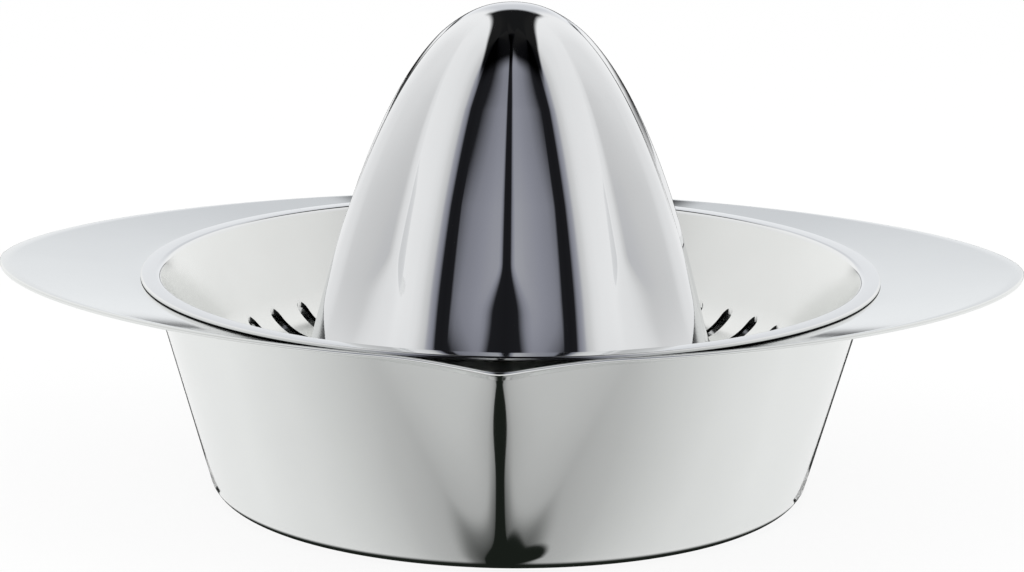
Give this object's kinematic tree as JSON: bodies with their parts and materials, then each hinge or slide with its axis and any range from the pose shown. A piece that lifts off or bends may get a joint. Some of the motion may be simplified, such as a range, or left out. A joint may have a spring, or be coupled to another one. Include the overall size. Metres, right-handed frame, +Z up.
{
  "type": "hand citrus squeezer",
  "caption": "Steel hand citrus squeezer: a spouted bowl with a thin oval wing, and a lift-out slotted strainer that carries a tall fluted reamer.",
  "frame": {"origin": "centre of the bowl's flat base, on the surface that it stands on", "axes": "+Z up along the axis of bowl and reamer, -Y towards the pouring spout, X along the two wing ends"},
  "size_m": [0.18, 0.1403, 0.0866],
  "materials": {
    "bowl_steel": "mirror polished",
    "strainer_steel": "satin inside, polished rim",
    "reamer_steel": "mirror polished"
  },
  "bodies": {
    "bowl": {"bowl": "bowl_steel"},
    "insert": {"strainer": "strainer_steel", "reamer": "reamer_steel"}
  },
  "joints": [
    {"name": "insert_lift", "type": "slide", "parent": "bowl", "child": "insert", "axis": [0, 0, 1], "range_m": [0, 0.06]}
  ]
}
